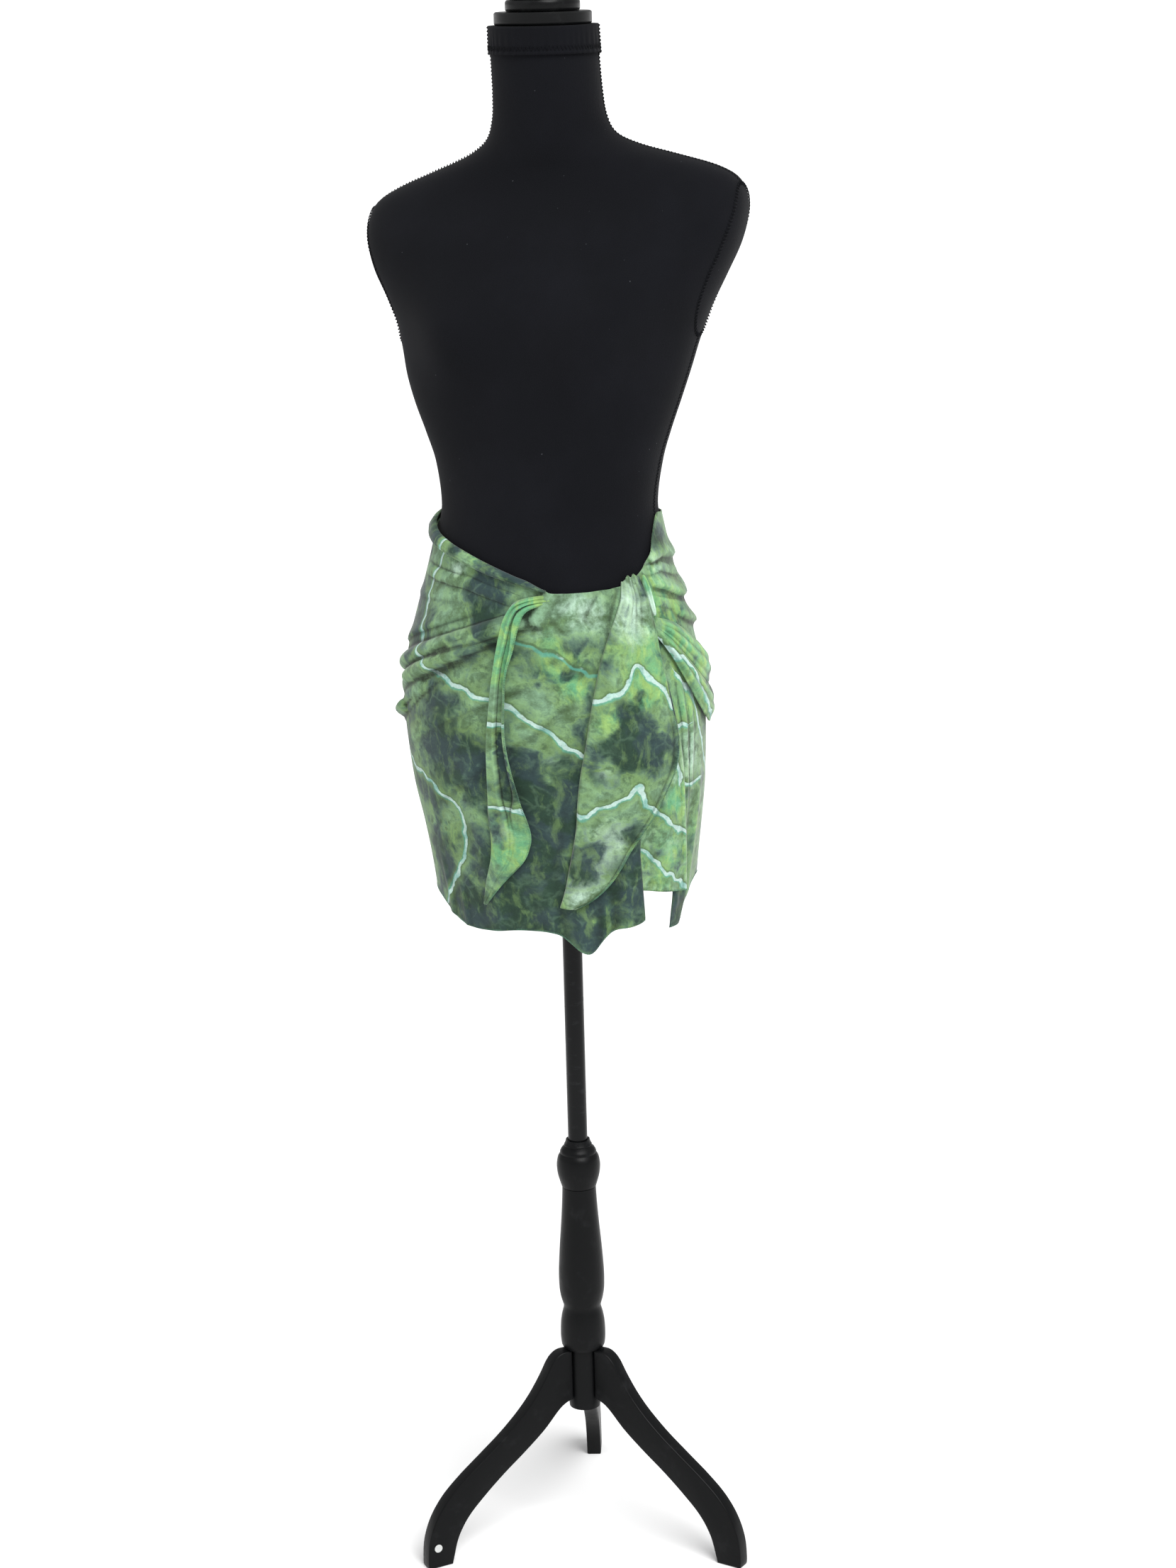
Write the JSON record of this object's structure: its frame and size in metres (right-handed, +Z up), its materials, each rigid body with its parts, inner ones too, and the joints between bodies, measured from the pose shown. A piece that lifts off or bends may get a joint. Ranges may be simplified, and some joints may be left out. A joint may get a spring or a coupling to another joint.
{
  "type": "sarong on a limbless dress form with a tripod stand",
  "caption": "Short tie-dyed jersey sarong wound round the hips and tied at the left front, shown on a limbless dress form on a turned tripod stand.",
  "frame": {"origin": "on the floor under the middle of the box around everything; the pole stands 20 mm in front of it", "axes": "+Z up, the form faces -Y, its left hip (where the sarong is tied) is towards +X"},
  "size_m": [0.393, 0.3488, 1.68],
  "materials": {
    "dyed_jersey": "matt stretch jersey, green tie-dye with pale veins",
    "form_jersey": "matt black jersey cover",
    "cap_plastic": "satin black",
    "pole_metal": "semi-gloss black",
    "black_wood": "satin black paint on turned and sawn wood",
    "disc_plastic": "pale, plain"
  },
  "bodies": {
    "root": {"wrap_body": "dyed_jersey", "waist_roll": "dyed_jersey", "hip_drape": "dyed_jersey", "cascade_fold": "dyed_jersey", "knot": "dyed_jersey", "tail_wide": "dyed_jersey", "tail_narrow": "dyed_jersey", "form_body": "form_jersey", "neck_band": "form_jersey", "neck_flange": "cap_plastic", "neck_finial": "cap_plastic", "pole": "pole_metal", "stand_collar": "black_wood", "stand_column": "black_wood", "stand_post": "black_wood", "leg_left": "black_wood", "leg_right": "black_wood", "leg_back": "black_wood", "foot_disc": "disc_plastic"}
  },
  "joints": []
}
